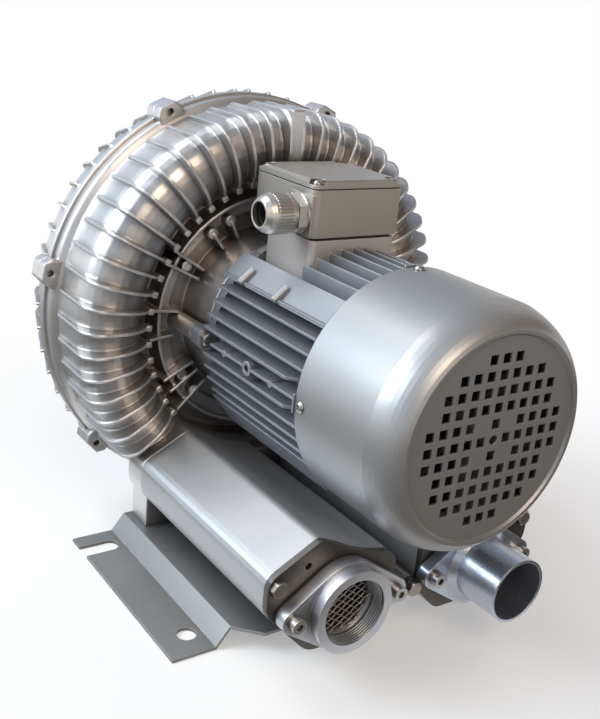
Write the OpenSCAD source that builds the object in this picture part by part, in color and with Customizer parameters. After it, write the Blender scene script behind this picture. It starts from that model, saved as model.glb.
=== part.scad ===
// Ring blower with a side channel, its silencers and a fan cooled motor.
// +Y points to the rear cover, -Y to the fan cowl, +Z is up.
// The modules measure Y from the middle of the four mounting holes. placed() then moves
// every piece so that the origin is on the floor, in the middle of the whole length.

/* [Layout] */
// Which piece is drawn
// Gap between the raised top of the base plate and the silencers
tube_clear = 9; // [6:1:30]

/* [Base plate] */
// Thickness of the bent sheet
sheet_t = 3; // [2:0.5:4]
// Height of the raised top above the floor
plate_h = 20; // [16:1:20]
// Half width over the flanges
plate_half = 187; // [182:1:200]
// Half width of the flat raised top
top_half = 132; // [128:1:134]
// Sideways run of the sloped side
slope_run = 13; // [8:1:14]
// Front edge of the flanges
plate_front = -109; // [-120:1:-104]
// Rear edge of the flanges
plate_rear = 108; // [105:1:116]
// How far the raised top reaches out in front of the flanges
nose_len = 22; // [10:1:30]
// Distance between the mounting holes across
hole_span_x = 318; // [310:1:322]
// Distance between the mounting holes front to back
hole_span_y = 163; // [150:1:170]
// Radius of the mounting holes
mount_hole_r = 9; // [5:0.5:10]

/* [Blower housing] */
// Number of fin places in a full turn
fin_count = 54; // [48:2:60]
// Angle of the first fin from straight up
fin_start = 2.2; // [1.6:0.1:3]
// Number of fins on each side
fins_a_side = 20; // [10:1:20]
// Thickness of a housing fin
fin_t = 2.6; // [2:0.2:3.2]
// Radius of the housing at the joint
rim_r = 203; // [201:1:205]
// Place of the joint between housing and rear cover
joint_y = 142; // [141:0.5:143]
// Distance from the rim in to the middle of the side channel
rim_to_channel = 37; // [36:0.5:38]
// Radius of the channel's round inside
channel_hole_r = 25; // [23:0.5:25.5]
// Wall of the channel
channel_wall = 6.5; // [5.5:0.5:7]
// Depth from the joint to the middle of the front channel
channel_depth = 50.5; // [49:0.5:51]
// Width of the groove between the channel and the round rib in front of the hub
groove_w = 16.5; // [15.5:0.5:18.5]
// Front of the round rib
hub_rib_y = 78; // [74:1:82]
// Width of the recess between the hub and the round rib
recess_w = 32; // [31:1:36]
// Angle between neighbouring clamping lugs
lug_step = 53.333; // [53:0.1:54]
// Angle of the first lug from straight up
lug_start = 25.55; // [25:0.05:26]
// Width of a lug
lug_w = 26; // [20:1:28]
// How far the lugs stand out of the rim
lug_out = 13; // [11:1:17]
// Thickness of one lug
lug_t = 13; // [13:1:16]
// Thickness of the rim's flange at the joint
rim_t = 11; // [8:1:12]
// Radius of the screws that clamp the lugs
lug_screw_r = 3; // [2.5:0.5:3]

/* [Impeller] */
// Number of vanes
vane_count = 44; // [24:2:48]
// How far the impeller reaches out past the middle of the channel
impeller_reach = 21; // [14:1:23]
// Width of the vane ring
vane_ring_w = 52; // [46:1:54]
// Thickness of a vane
vane_t = 2.4; // [2:0.2:3]

/* [Motor] */
// Radius over the cooling fins
motor_r = 101; // [99:0.5:101.5]
// Radius at the root of the cooling fins
motor_core_r = 80; // [79:0.5:82]
// Distance between neighbouring motor fins
motor_fin_pitch = 12.4; // [12:0.1:12.6]
// Thickness of a motor fin at its root
motor_fin_t = 3.4; // [2.6:0.2:4]
// Front end of the finned frame
frame_front = -143; // [-145:1:-141]
// Rear end of the finned frame
frame_rear = 24; // [23:1:25]
// Bore of the stator core's seat
stator_seat_r = 71; // [69:0.5:72]
// Radius of the rotor
rotor_r = 44.5; // [42:0.5:44.5]
// Air gap between rotor and stator
air_gap = 0.5; // [0.4:0.1:0.8]

/* [Fan cowl] */
// Outer radius of the cowl
cowl_r = 104.5; // [104:0.5:106]
// Thickness of the cowl's sheet
cowl_t = 2; // [1.5:0.1:2]
// Front face of the grille
grille_y = -248; // [-252:1:-246]
// Rear edge of the cowl
cowl_rear = -132.4; // [-134:0.2:-131]
// Radius of the raised rim round the grille
grille_rim_r = 87.3; // [86:0.1:88]
// Distance between neighbouring grille holes
grille_pitch = 13.3; // [13:0.1:13.5]
// Width of a square grille hole
grille_hole = 8.2; // [6:0.1:9]
// Number of blades of the cooling fan
blade_count = 8; // [5:1:12]
// Radius of the cooling fan
fan_r = 82; // [70:1:86]

/* [Terminal box] */
// Width of the box across
box_w = 96; // [90:1:98]
// Length of the box along the shaft
box_l = 93; // [90:1:94]
// Front face of the box
box_front = -53; // [-54:1:-52]
// Bottom of the box above the shaft axis
box_bottom = 110; // [109:0.5:112]
// Height of the box below its lid
box_h = 41; // [38:1:44]
// Height of the lid
lid_h = 6.5; // [6:0.5:8]
// Wall of the box
box_wall = 4; // [3:0.5:4.5]
// Height of the cable gland above the shaft axis
gland_z = 129; // [128:0.5:131]
// Place of the cable gland along the shaft
gland_y = -35; // [-36:0.5:-33]
// Radius of the gland's thread
gland_thread_r = 12.5; // [11:0.5:13]
// Radius of the hole for the cable
gland_hole_r = 9.5; // [8:0.5:10]

/* [Silencers] */
// Place of the port's axis across
port_x = 74; // [73:0.5:75]
// Height of the port's axis above the underside of the silencers
port_rise = 45; // [44:0.5:46]
// Front face of the end plates
plate_face_y = -178; // [-182:1:-174]
// Thickness of an end plate
end_plate_t = 6; // [5:0.5:8]
// Wall of the silencer tube
tube_wall = 4; // [3:0.5:4.5]
// Rear end of the silencer tubes
tube_rear = 46; // [44:1:48]

/* [Port flanges] */
// Half of the distance between a flange's two screws
flange_reach = 51.75; // [51:0.25:53]
// Thickness of a flange
flange_t = 11; // [9:0.5:13]
// Thickness of a flange gasket
gasket_t = 2; // [1:0.5:2.5]
// Radius of the opening behind each port
port_hole_r = 28; // [27.5:0.25:28]
// Bore of the threaded port at the roots of its thread
thread_bore_r = 29.8; // [29:0.1:30]
// Outer radius of the threaded collar
collar_r = 37.6; // [36:0.2:38]
// Front end of the threaded collar
collar_front = -202.4; // [-206:0.2:-200]
// Outer radius of the hose nozzle
nozzle_r = 30; // [29:0.5:30.5]
// Wall of the hose nozzle
nozzle_wall = 2.5; // [2:0.25:3]
// Front end of the hose nozzle
nozzle_front = -240; // [-246:1:-226]

/* [Screws and clearances] */
// Radius of the 8 mm screws
screw_r = 4; // [3.5:0.5:4]
// Half width across the flats of an 8 mm hexagon head
hex_half = 6.5; // [6:0.5:6.5]
// Height of an 8 mm hexagon head
hex_head_h = 5.3; // [4.5:0.1:5.6]
// Radius of the 5 mm screws of the cowl, the lid and the bearing shields
small_screw_r = 2.5; // [2:0.25:2.5]
// Gap between a screw and its hole
screw_gap = 0.3; // [0.2:0.05:0.4]
// Running gap of the shaft seal
seal_gap = 0.05; // [0.02:0.01:0.1]
// Gap of loose inner pieces
loose_gap = 0.3; // [0.2:0.05:0.4]

/* [Hidden] */
tube_drop = rim_r + 3;
axis_h = plate_h + tube_clear + tube_drop;
port_drop = tube_drop - port_rise;
fin_step = 360 / fin_count;
wall_r = channel_hole_r + channel_wall;
channel_r = rim_r - rim_to_channel;
hub_rib_r = channel_r - wall_r - groove_w;
hub_r = hub_rib_r - recess_w;
lug_r = rim_r + lug_out;
impeller_r = channel_r + impeller_reach;
front_channel_y = joint_y - channel_depth;
fin_crest_y = front_channel_y - 44;
rear_channel_y = joint_y + 32;
front_centre = [channel_r, front_channel_y];
rear_centre = [channel_r, rear_channel_y];
wheel_y = joint_y - 10;
hub_front = frame_rear + 16;
hub_floor = joint_y - 48;
groove_floor = joint_y - 38;
chamber_front = joint_y - 32;
chamber_rear = joint_y + 18;
lug_hole_r = rim_r + 6;
lug_angles = [for (k = [0:2]) lug_start + k * lug_step];
// Radial ribs in the recess round the hub: angle, start and end counted from the round rib
hub_ribs = [[26.6, -30, -12], [38.4, -30, -12], [56.7, -29, 11], [63, -29, 11], [84, -18, 11],
            [97, -13, 11], [118.2, -27, 8], [124.8, -27, 8], [134.2, -27, 14]];
// Angles of the round pads between the ribs
hub_pads = [26.6, 38.4, 59.9, 121.5, 134.2];
hub_pad_r = hub_rib_r - 11.5;
foot_y = 89;
foot_x = 92;
port_z = axis_h - port_drop;
box_rear = box_front + box_l;
box_z = axis_h + box_bottom;
lid_z = box_z + box_h;
pedestal_w = box_w - 6;
pedestal_rear = frame_rear - 4;
pedestal_mid = (box_front + pedestal_rear) / 2;
gasket_h = 2.5;
stud_r = 2.5;
bearing_w = 16;
bearing_bore_r = 15;
bearing_r = 31;
seal_r = 26;
ball_r = 4.7;
ball_ring_r = 23;
ball_count = 9;
drive_bearing_y = frame_rear;
fan_bearing_y = frame_front - bearing_w + 4;
impeller_bore_r = 12;
fan_bore_r = 10;
motor_screw_r = 96;
cowl_screw_y = frame_front + 3;
gland_axis_z = axis_h + gland_z;
gland_seat_t = 9;
lid_boss_h = 8;
flange_back = plate_face_y - gasket_t;
flange_front = flange_back - flange_t;
collar_seat_y = flange_back - 4;
screen_t = 1.2;
screen_r = thread_bore_r - 1.3;
screen_seat_r = 27;
shield_screw_r = 75.5;
wire_hole_r = 14;
stack_front = frame_front + 41;
stack_rear = frame_rear - 36;
fan_front = grille_y + 30;
fan_rear = fan_front + 42;
wheel_front = wheel_y - 19;
wheel_rear = wheel_y + 14;
seal_front = chamber_front - 13;
key_y = joint_y - 26;
cover_rear = joint_y + 67;
middle_y = (grille_y - 2 + cover_rear) / 2;

// Corner points of the left silencer outline, seen along the shaft, above its underside
tube_outline = [[-145, 48], [-145, 79], [-97, 105], [-79, 97], [-63, 88.5], [-46, 82],
                [-22, 76], [-15, 68], [-15, 28], [-41, 0], [-100, 0]];
// The same from the shaft axis
tube_points = [for (p = tube_outline) p - [0, tube_drop]];
// Rounding at each of those corners
tube_rounds = [9, 9, 4, 0, 0, 0, 4, 3, 4, 8, 10];
// Centres of the two long bolts of each silencer, on the left side
tie_points = [[-136, 72 - tube_drop], [-9.5, 31.5 - tube_drop]];
tie_boss_r = 8;

// Points on a curve from a to c that leans towards b, in n steps
function curve(a, b, c, n) =
  [for (i = [0:n]) let (t = i / n) (1 - t) * (1 - t) * a + 2 * t * (1 - t) * b + t * t * c];

// Points that round off corner b between a and c, starting d before it
function bend(a, b, c, d) =
  d == 0 ? [b] : curve(b + d * (a - b) / norm(a - b), b, b + d * (c - b) / norm(c - b), 4);

// A closed outline with each corner rounded by its own amount
function rounded(p, d) =
  let (n = len(p)) [for (i = [0:n - 1]) each bend(p[(i + n - 1) % n], p[i], p[(i + 1) % n], d[i])];

// Points on an arc about c from angle a to angle b, in n steps
function arc(c, r, a, b, n) =
  [for (i = [0:n]) let (t = a + (b - a) * i / n) c + r * [cos(t), sin(t)]];

// Outline of a centred rectangle with rounded corners
function box_points(w, l, r) =
  rounded([[-w, -l] / 2, [w, -l] / 2, [w, l] / 2, [-w, l] / 2], [r, r, r, r]);

// Moves a piece so that the origin is in the middle of the whole length
module placed() { translate([0, -middle_y, 0]) children(); }

// Local Z runs along the shaft from the origin's plane to the rear
module about_axis() { translate([0, 0, axis_h]) rotate([-90, 0, 0]) children(); }

// Turns an outline, drawn as radius and place along the shaft, about the shaft axis
module turned() { about_axis() rotate_extrude($fn = 96) children(); }

// Tilts its children about the shaft axis, with +Z pointing outward
module at_angle(t) { translate([0, 0, axis_h]) rotate([0, t, 0]) children(); }

// A plate of thickness w in the plane of the shaft, drawn as radius and place along the shaft
module side_plate(w) { rotate([0, -90, 0]) translate([0, 0, -w / 2]) linear_extrude(w) children(); }

// Pushes an outline seen along the shaft from y0 to y1
module along_y(y0, y1) { translate([0, y1, 0]) rotate([90, 0, 0]) linear_extrude(y1 - y0) children(); }

// The same, with the outline drawn about the shaft axis
module along_shaft(y0, y1) { translate([0, 0, axis_h]) along_y(y0, y1) children(); }

// A rod along Y
module rod(x, z, r, y0, y1) {
  translate([x, y0, z]) rotate([-90, 0, 0]) cylinder(r = r, h = y1 - y0, $fn = 48);
}

// A hexagon of half width f along Y
module hex_rod(x, z, f, y0, y1) {
  translate([x, y0, z]) rotate([-90, 0, 0]) cylinder(r = f / cos(30), h = y1 - y0, $fn = 6);
}

// A hexagon head along Y whose outer face, at y0, is turned to a chamfer
module bolt_head(x, z, f, y0, y1) {
  intersection() {
    hex_rod(x, z, f, y0, y1);
    translate([x, y0, z]) rotate([-90, 0, 0])
      cylinder(r1 = f * 0.97, r2 = f * 0.97 + y1 - y0, h = y1 - y0, $fn = 48);
  }
}

// A pan head of radius r with its crossed recess, standing on the plane Z = 0
module pan_head(r, h) {
  difference() {
    union() {
      cylinder(r = r, h = h * 0.4, $fn = 32);
      translate([0, 0, h * 0.4]) cylinder(r1 = r, r2 = r * 0.62, h = h * 0.6, $fn = 32);
    }
    for (a = [0, 90]) rotate(a) translate([-r / 2, -0.5, h * 0.55]) cube([r, 1, h]);
  }
}

// Draws its children on the left and mirrored on the right
module both_sides() {
  children();
  mirror([1, 0, 0]) children();
}

module base_plate() {
  bend_out = top_half + slope_run;
  color([0.58, 0.59, 0.6]) difference() {
    union() {
      along_y(plate_front, plate_rear) polygon([
        [-plate_half, 0], [-bend_out + 1, 0], [-top_half + 1, plate_h - sheet_t],
        [top_half - 1, plate_h - sheet_t], [bend_out - 1, 0], [plate_half, 0],
        [plate_half, sheet_t], [bend_out, sheet_t], [top_half, plate_h],
        [-top_half, plate_h], [-bend_out, sheet_t], [-plate_half, sheet_t]]);
      translate([0, 0, plate_h - sheet_t]) linear_extrude(sheet_t) polygon([
        [-top_half, plate_front + 1], [-top_half, plate_front],
        [-top_half + nose_len, plate_front - nose_len], [top_half - nose_len, plate_front - nose_len],
        [top_half, plate_front], [top_half, plate_front + 1]]);
    }
    both_sides() {
      for (s = [-1, 1]) translate([-hole_span_x / 2, s * hole_span_y / 2, -1])
        cylinder(r = mount_hole_r, h = sheet_t + 2, $fn = 48);
      translate([-plate_half - 1, hole_span_y / 2 - mount_hole_r, -1])
        cube([plate_half + 1 - hole_span_x / 2, 2 * mount_hole_r, sheet_t + 2]);
      translate([-foot_x, foot_y, plate_h - sheet_t - 1])
        cylinder(r = screw_r + screw_gap, h = sheet_t + 2, $fn = 48);
    }
  }
}

// A solid of one silencer's outline on the left, with the bosses of its two long bolts
module tube_block(y0, y1) {
  along_shaft(y0, y1) polygon(rounded(tube_points, tube_rounds));
  for (p = tie_points) rod(p[0], axis_h + p[1], tie_boss_r, y0, y1);
}

// A clamping lug on the rim, from y0 to y1
module lug(y0, y1) {
  along_y(y0, y1) polygon([
    [-lug_w / 2, rim_r - 8], [lug_w / 2, rim_r - 8], [lug_w / 2, lug_r - 7],
    [lug_w / 2 - 5, lug_r], [-lug_w / 2 + 5, lug_r], [-lug_w / 2, lug_r - 7]]);
}

// One housing fin with its curved crest and the small tab at its inner end
module front_fin() {
  outer_r = rim_r - 0.4;
  ramp = [outer_r, joint_y - 25];
  shoulder = [outer_r, fin_crest_y + 14.5];
  crown = [rim_r - 12, fin_crest_y + 1.5];
  crest = [channel_r - 6, fin_crest_y];
  inner_end = [channel_r - 19, fin_crest_y + 4.5];
  side_plate(fin_t + 3) translate([channel_r - wall_r + 0.5, fin_crest_y + 11]) square([5, 9]);
  side_plate(fin_t) polygon(concat(
    [[rim_r - 8, joint_y - 16], [rim_r - 5, joint_y - 16], ramp],
    bend(ramp, shoulder, crown, 9),
    bend(shoulder, crown, crest, 7),
    bend(crown, crest, inner_end, 8),
    [inner_end + [0, 0.5], [channel_r - wall_r, fin_crest_y + 15.5]],
    arc(front_centre, wall_r - 3, 200, 360, 10)));
}

// The hollow that the impeller and the front half of the channel take up
module front_cavity() {
  turned() polygon(concat(
    [[0, chamber_front], [channel_r - channel_hole_r, chamber_front]],
    arc(front_centre, channel_hole_r, 180, 360, 12),
    [[channel_r + channel_hole_r, joint_y + 1], [0, joint_y + 1]]));
}

module front_housing() {
  color([0.62, 0.63, 0.65]) difference() {
    union() {
      turned() polygon(concat(
        [[0, hub_front], [hub_r, hub_front], [hub_r, hub_floor], [hub_rib_r - 15, hub_floor],
         [hub_rib_r - 15, hub_rib_y + 10], [hub_rib_r - 1.5, hub_rib_y + 10],
         [hub_rib_r - 1.5, hub_rib_y], [hub_rib_r + 1.5, hub_rib_y],
         [hub_rib_r + 2.5, groove_floor], [channel_r - wall_r, groove_floor]],
        arc(front_centre, wall_r, 180, 360, 14),
        [[channel_r + wall_r, joint_y - rim_t - 4], [rim_r, joint_y - rim_t],
         [rim_r + 1.5, joint_y - rim_t + 1.5], [rim_r + 1.5, joint_y], [0, joint_y]]));
      for (s = [-1, 1], k = [0:fins_a_side - 1]) at_angle(s * (fin_start + k * fin_step)) front_fin();
      for (s = [-1, 1], a = lug_angles) at_angle(s * a) lug(joint_y - lug_t, joint_y);
      for (s = [-1, 1], q = hub_ribs) at_angle(s * q[0])
        side_plate(2.6) translate([hub_rib_r + q[1], hub_rib_y - 3])
          square([q[2] - q[1], groove_floor - hub_rib_y + 4]);
      for (s = [-1, 1], a = hub_pads) at_angle(s * a) rod(0, hub_pad_r, 5.2, hub_rib_y - 1, hub_floor + 1);
      for (a = [0:90:270]) at_angle(a) rod(0, motor_screw_r, 9, hub_front, hub_floor + 1);
      // Column for the lifting eye between the two top fins
      translate([-7, fin_crest_y + 2, axis_h + rim_r - 53]) cube([14, 36, 53]);
      // Port block that the silencers are bolted to
      both_sides() tube_block(tube_rear, 74);
      translate([-16, tube_rear + 8, axis_h - tube_drop + 6]) cube([32, 26, 60]);
      // Feet on the raised top of the base plate
      both_sides() {
        translate([-124, 74, plate_h]) cube([20, 30, 62]);
        translate([-105, 74, plate_h]) cube([26, 30, 10]);
      }
    }
    difference() {
      front_cavity();
      // The solid bridge between inlet and outlet stays in the front channel
      translate([-38, 40, axis_h - 200]) cube([76, wheel_y - vane_ring_w / 2 - 42, 100]);
    }
    rod(0, axis_h, seal_r + loose_gap, seal_front - 1, chamber_front + 1);
    rod(0, axis_h, 20, hub_front - 1, seal_front);
    rod(0, axis_h, bearing_r + 4, hub_front - 1, hub_front + 10);
    both_sides() {
      rod(-port_x, port_z, port_hole_r, tube_rear - 1, front_channel_y);
      for (p = tie_points) rod(p[0], axis_h + p[1], screw_r + screw_gap, tube_rear - 1, tube_rear + 24);
      translate([-foot_x, foot_y, plate_h - 1]) cylinder(r = screw_r + screw_gap, h = 12, $fn = 48);
    }
    for (s = [-1, 1], a = lug_angles) at_angle(s * a)
      rod(0, lug_hole_r, lug_screw_r + screw_gap, joint_y - lug_t - 1, joint_y + 1);
    for (a = [0:90:270]) at_angle(a)
      rod(0, motor_screw_r, screw_r + screw_gap, hub_front - 1, hub_front + 26);
  }
}

// One fin of the rear cover, with its pointed tip
module rear_fin() {
  tip = [rim_r + 1, joint_y + 28];
  shoulder = [rim_r - 7, cover_rear - 13];
  crown = [rim_r - 16, cover_rear];
  crest = [channel_r - 10, cover_rear];
  inner_end = [channel_r - 23, cover_rear - 8];
  side_plate(fin_t) polygon(concat(
    [[rim_r - 7, joint_y + 8], [rim_r + 1, joint_y + 6], [rim_r + 6.5, joint_y + 11.5], tip],
    bend(tip, shoulder, crown, 6.5),
    bend(shoulder, crown, crest, 6.5),
    bend(crown, crest, inner_end, 8),
    [inner_end + [0, 0.5], [channel_r - wall_r, rear_channel_y + 12]],
    arc(rear_centre, wall_r - 3, 150, 0, 10)));
}

module rear_cover() {
  color([0.62, 0.63, 0.65]) difference() {
    union() {
      turned() polygon(concat(
        [[0, joint_y], [rim_r + 4, joint_y], [rim_r + 4, joint_y + 9], [rim_r - 3, joint_y + 12]],
        arc(rear_centre, wall_r, 0, 180, 13),
        [[channel_r - 38, joint_y + 30], [62, joint_y + 30], [58, joint_y + 40], [0, joint_y + 40]]));
      for (s = [-1, 1], k = [0:fins_a_side - 1]) at_angle(s * (fin_start + k * fin_step)) rear_fin();
      for (s = [-1, 1], a = lug_angles) at_angle(s * a) lug(joint_y, joint_y + lug_t);
      for (a = [15:30:345]) at_angle(a)
        side_plate(4) translate([56, joint_y + 26]) square([channel_r - 86, 12]);
    }
    difference() {
      turned() polygon(concat(
        [[0, joint_y - 1], [channel_r + channel_hole_r, joint_y - 1]],
        arc(rear_centre, channel_hole_r, 0, 180, 12),
        [[channel_r - channel_hole_r, chamber_rear], [34, chamber_rear], [34, chamber_rear + 12],
         [0, chamber_rear + 12]]));
      translate([-38, wheel_y + vane_ring_w / 2 + 2, axis_h - 200]) cube([76, 60, 100]);
    }
    for (s = [-1, 1], a = lug_angles) at_angle(s * a)
      rod(0, lug_hole_r, lug_screw_r + screw_gap, joint_y - 1, joint_y + lug_t + 1);
  }
}

module housing_screws() {
  color([0.7, 0.7, 0.72]) for (s = [-1, 1], a = lug_angles) at_angle(s * a) difference() {
    union() {
      rod(0, lug_hole_r, lug_screw_r, joint_y - lug_t + 5, joint_y + lug_t + 1);
      rod(0, lug_hole_r, 5, joint_y + lug_t, joint_y + lug_t + 6);
    }
    hex_rod(0, lug_hole_r, 2.5, joint_y + lug_t + 3, joint_y + lug_t + 7);
  }
}

module foot_bolts() {
  color([0.3, 0.3, 0.31]) both_sides() translate([-foot_x, foot_y, 0]) {
    translate([0, 0, plate_h + 10]) cylinder(r = hex_half / cos(30), h = hex_head_h, $fn = 6);
    translate([0, 0, 10]) cylinder(r = screw_r, h = plate_h + 1, $fn = 48);
  }
}

module foot_nuts() {
  color([0.3, 0.3, 0.31]) both_sides() translate([-foot_x, foot_y, plate_h - sheet_t - 6.5]) difference() {
    cylinder(r = hex_half / cos(30), h = 6.5, $fn = 6);
    translate([0, 0, -1]) cylinder(r = screw_r + 0.05, h = 9, $fn = 48);
  }
}

// One tapered motor fin that points to -X from x0 to x1 at height z
module motor_fin(z, x0, x1) {
  polygon([[-x0, z - motor_fin_t / 2], [-x0, z + motor_fin_t / 2], [-x1, z + motor_fin_t / 3],
           [-x1, z - motor_fin_t / 3]]);
}

function fin_tip(z) = sqrt(motor_r * motor_r - z * z);
function fin_root(z) = sqrt(motor_core_r * motor_core_r - z * z) - 6;

module motor_frame() {
  pitch = motor_fin_pitch;
  color([0.5, 0.52, 0.55]) difference() {
    union() {
      along_shaft(frame_front, frame_rear) {
        circle(r = motor_core_r, $fn = 96);
        both_sides() {
          for (k = [-4, -3, -2, 0, 2, 3, 4]) motor_fin(k * pitch, fin_root(k * pitch), fin_tip(k * pitch));
          motor_fin(5 * pitch, 40, 84);
          polygon([[-50, 50], [-84, 60], [-63, 80], [-45, 62]]);
          polygon([[-50, -50], [-86, -57], [-62, -87], [-45, -62]]);
          for (k = [0:4]) rotate(90) motor_fin(k * pitch, fin_root(k * pitch), fin_tip(k * pitch) - 2);
        }
      }
      // The fins beside the middle one stop short of the cowl
      both_sides() for (k = [-1, 1]) translate([0, 0, axis_h + k * pitch])
        linear_extrude(motor_fin_t * 0.8, center = true) polygon([
          [-70, frame_front + 20], [-fin_tip(pitch) + 8, frame_front + 26],
          [-fin_tip(pitch), frame_front + 34], [-fin_tip(pitch), frame_rear], [-70, frame_rear]]);
      // Upright fins in front of the terminal box
      both_sides() along_shaft(frame_front, box_front + 3)
        for (k = [0:5]) rotate(-90) motor_fin(k * pitch, fin_root(k * pitch), fin_tip(k * pitch) - 1);
      translate([0, pedestal_mid, axis_h + 40]) linear_extrude(box_bottom - gasket_h - 40)
        polygon(box_points(pedestal_w, pedestal_rear - box_front, 6));
      // Round pads and the tapped boss on the middle fin
      both_sides() for (q = [[-15, 3], [-53, 6.5], [-90, 3]])
        translate([-motor_r - 0.8, q[0], axis_h]) rotate([0, 90, 0]) cylinder(r = q[1], h = 24, $fn = 32);
      both_sides() for (y = [-8, -62])
        translate([-86.5, y, axis_h + 62]) rotate([0, 50, 0]) cylinder(r = 3.2, h = 17, $fn = 32);
      // Pads that the cowl is screwed to
      for (a = [0:90:270]) at_angle(a)
        translate([-8, frame_front, 76]) cube([16, cowl_rear - frame_front + 2, 30]);
    }
    along_shaft(frame_front - 1, cowl_rear + loose_gap) difference() {
      circle(r = cowl_r + 10, $fn = 96);
      circle(r = cowl_r - cowl_t - loose_gap, $fn = 96);
    }
    for (a = [0:90:270]) at_angle(a) {
      translate([0, cowl_screw_y, 88]) cylinder(r = small_screw_r + screw_gap, h = 20, $fn = 32);
      rod(0, motor_screw_r, 9.5, frame_rear - 14, frame_rear + 1);
    }
    along_shaft(frame_front - 1, frame_rear + 1) circle(r = stator_seat_r, $fn = 96);
    both_sides() translate([-motor_r - 2, -53, axis_h])
      rotate([0, 90, 0]) cylinder(r = 3.4, h = 18, $fn = 32);
    translate([0, pedestal_mid, axis_h + 60]) cylinder(r = wire_hole_r, h = 60, $fn = 48);
    for (a = [45:90:315]) at_angle(a) {
      rod(0, shield_screw_r, small_screw_r + screw_gap, frame_front - 1, frame_front + 15);
      rod(0, shield_screw_r, small_screw_r + screw_gap, frame_rear - 15, frame_rear + 1);
    }
  }
}

module stator_core() {
  color([0.45, 0.45, 0.47]) along_shaft(stack_front, stack_rear) difference() {
    circle(r = stator_seat_r, $fn = 96);
    circle(r = rotor_r + air_gap, $fn = 96);
    for (a = [0:15:345]) rotate(a) translate([rotor_r + 12, 0]) circle(r = 3.8, $fn = 32);
  }
}

module stator_windings() {
  color([0.6, 0.33, 0.16]) turned() for (y = [stack_front - 20, stack_rear])
    polygon(rounded([[51, y], [66, y], [66, y + 20], [51, y + 20]], [4, 4, 4, 4]));
}

module drive_end_shield() {
  color([0.5, 0.52, 0.55]) difference() {
    union() {
      turned() polygon([
        [0, frame_rear - 12], [38, frame_rear - 12], [44, frame_rear - 2], [stator_seat_r, frame_rear - 2],
        [stator_seat_r, frame_rear], [90, frame_rear], [90, frame_rear + 8], [hub_r - 4, hub_front],
        [0, hub_front]]);
      for (a = [0:90:270]) at_angle(a) along_y(frame_rear, hub_front) polygon(rounded(
        [[-9, 70], [9, 70], [9, motor_screw_r + 9], [-9, motor_screw_r + 9]], [0, 0, 5, 5]));
    }
    rod(0, axis_h, bearing_r, drive_bearing_y, hub_front + 1);
    rod(0, axis_h, bearing_r - 6, frame_rear - 13, frame_rear + 1);
    for (a = [0:90:270]) at_angle(a)
      rod(0, motor_screw_r, screw_r + screw_gap, frame_rear - 1, hub_front + 1);
    for (a = [45:90:315]) at_angle(a)
      rod(0, shield_screw_r, small_screw_r + screw_gap, frame_rear - 3, hub_front + 1);
  }
}

module fan_end_shield() {
  seat_front = fan_bearing_y - 4;
  color([0.5, 0.52, 0.55]) difference() {
    turned() polygon([
      [0, seat_front], [36, seat_front], [44, frame_front - 6], [88, frame_front - 4], [88, frame_front],
      [stator_seat_r, frame_front], [stator_seat_r, frame_front + 3], [40, frame_front + 4],
      [36, fan_bearing_y + bearing_w + 3], [0, fan_bearing_y + bearing_w + 3]]);
    rod(0, axis_h, bearing_r, fan_bearing_y, fan_bearing_y + bearing_w + 4);
    rod(0, axis_h, bearing_bore_r + 3, seat_front - 1, fan_bearing_y + 1);
    for (a = [45:90:315]) at_angle(a)
      rod(0, shield_screw_r, small_screw_r + screw_gap, frame_front - 8, frame_front + 4);
  }
}

module motor_screws() {
  color([0.7, 0.7, 0.72]) {
    for (a = [0:90:270]) at_angle(a) {
      bolt_head(0, motor_screw_r, hex_half, frame_rear - hex_head_h, frame_rear);
      rod(0, motor_screw_r, screw_r, frame_rear - 1, hub_front + 22);
    }
  }
}

module fan_cowl() {
  color([0.52, 0.55, 0.6]) difference() {
    turned() polygon(concat(
      [[0, grille_y], [grille_rim_r - 3, grille_y], [grille_rim_r - 1.5, grille_y - 2]],
      curve([grille_rim_r + 1.5, grille_y - 2], [cowl_r - 4.5, grille_y + 3], [cowl_r, grille_y + 27], 8),
      [[cowl_r, cowl_rear], [cowl_r - cowl_t, cowl_rear]],
      curve([cowl_r - cowl_t, grille_y + 28], [cowl_r - 6.2, grille_y + 4.6],
            [grille_rim_r + 1, grille_y + 0.2], 8),
      [[grille_rim_r - 0.5, grille_y], [grille_rim_r - 2, grille_y + cowl_t], [0, grille_y + cowl_t]]));
    along_shaft(grille_y - 1, grille_y + cowl_t + 1) grille_holes();
    for (a = [0:90:270]) at_angle(a) translate([0, cowl_screw_y, cowl_r - 10])
      cylinder(r = small_screw_r + screw_gap, h = 12, $fn = 32);
  }
}

// Half the number of hole columns in each row of the grille, from the middle row out
grille_rows = [5, 5, 4, 4, 3, 1];

module grille_holes() {
  for (row = [-5:5], col = [-5:5])
    if (abs(col) <= grille_rows[abs(row)] && !(row == 0 && col == 0) && !(abs(row) == 1 && abs(col) == 1))
      translate([col, row] * grille_pitch) square(grille_hole, center = true);
  circle(r = 4, $fn = 32);
}

module cowl_screws() {
  color([0.7, 0.7, 0.72]) for (a = [0:90:270]) at_angle(a) translate([0, cowl_screw_y, cowl_r]) {
    pan_head(4.8, 2.8);
    translate([0, 0, -9]) cylinder(r = small_screw_r, h = 10, $fn = 32);
  }
}

// Outline of the terminal box seen from above, from its middle
module box_outline(inset, r) {
  polygon(box_points(box_w - 2 * inset, box_l - 2 * inset, r));
}

module at_box(z) { translate([0, box_front + box_l / 2, z]) children(); }

// The four lid screw places, seen from above
module at_lid_screws() {
  for (sx = [-1, 1], sy = [-1, 1]) translate([sx * (box_w / 2 - 8), sy * (box_l / 2 - 8), 0]) children();
}

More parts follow.
